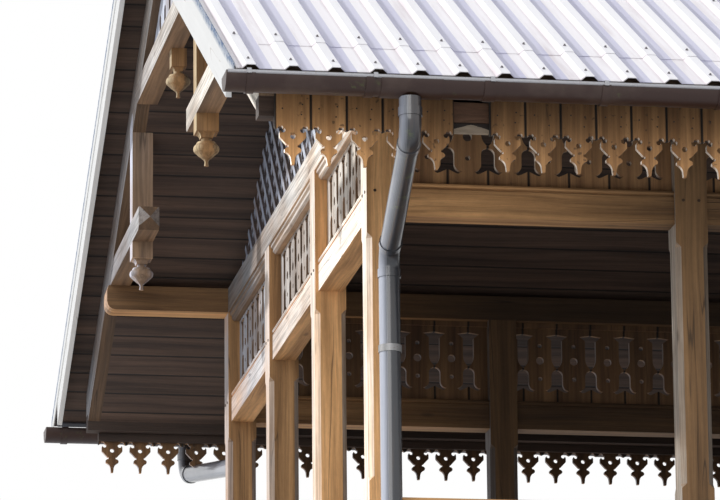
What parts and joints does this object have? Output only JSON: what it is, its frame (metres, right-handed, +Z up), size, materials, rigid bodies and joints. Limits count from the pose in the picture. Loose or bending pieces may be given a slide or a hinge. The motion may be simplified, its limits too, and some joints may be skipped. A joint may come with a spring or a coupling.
{
  "type": "two-storey open timber veranda with gabled sheet-metal roof",
  "caption": "Open timber veranda on two storeys, with fretwork friezes, hanging eave boards, hammer-beam gables and a ribbed sheet-metal roof.",
  "frame": {"origin": "on the ground, at the centre of the plan", "axes": "+X along the ridge, +Y across the gable away from the seen long side, +Z up"},
  "size_m": [7.04, 7.043, 7.6461],
  "materials": {
    "front_timber": "weathered, open grain",
    "fret_timber": "weathered, open grain",
    "weathered_timber": "weathered, open grain",
    "soffit_timber": "weathered, open grain",
    "deck_timber": "weathered, open grain",
    "hidden_timber": "weathered, open grain",
    "barge_paint": "weathered, open grain",
    "roof_sheet": "satin coated sheet, faded",
    "brown_metal": "satin brown coating",
    "flashing_metal": "dull zinc-blue sheet",
    "pad_stone": "rough grey stone"
  },
  "bodies": {
    "root": {"pad_stones": "pad_stone", "side_sills": "front_timber", "end_sills": "front_timber", "lower_joists": "hidden_timber", "lower_deck": "deck_timber", "lower_posts": "front_timber", "lower_transoms": "front_timber", "lower_side_friezes": "fret_timber", "lower_end_friezes": "weathered_timber", "lower_railings": "front_timber", "side_ring_beams": "front_timber", "end_ring_beams": "weathered_timber", "upper_joists": "hidden_timber", "upper_deck": "deck_timber", "upper_posts": "front_timber", "upper_transoms": "front_timber", "upper_side_friezes": "fret_timber", "upper_end_friezes": "weathered_timber", "upper_railings": "front_timber", "side_plates": "front_timber", "tie_beams": "weathered_timber", "ceiling_boards": "soffit_timber", "gable_lattices": "weathered_timber", "ridge_board": "soffit_timber", "common_rafters": "soffit_timber", "near_roof_boards": "soffit_timber", "far_roof_boards": "soffit_timber", "roof_battens": "hidden_timber", "near_roof_sheet": "roof_sheet", "far_roof_sheet": "roof_sheet", "ridge_cap": "roof_sheet", "barge_boards": "barge_paint", "verge_flashings": "flashing_metal", "truss_rafters": "weathered_timber", "hammer_beams": "weathered_timber", "hammer_posts": "weathered_timber", "collars": "weathered_timber", "king_pendants": "weathered_timber", "eave_rails": "front_timber", "near_eave_boards": "fret_timber", "far_eave_boards": "fret_timber", "gutters": "brown_metal", "gutter_brackets": "brown_metal", "downpipes": "brown_metal", "pipe_clamps": "brown_metal"}
  },
  "joints": []
}
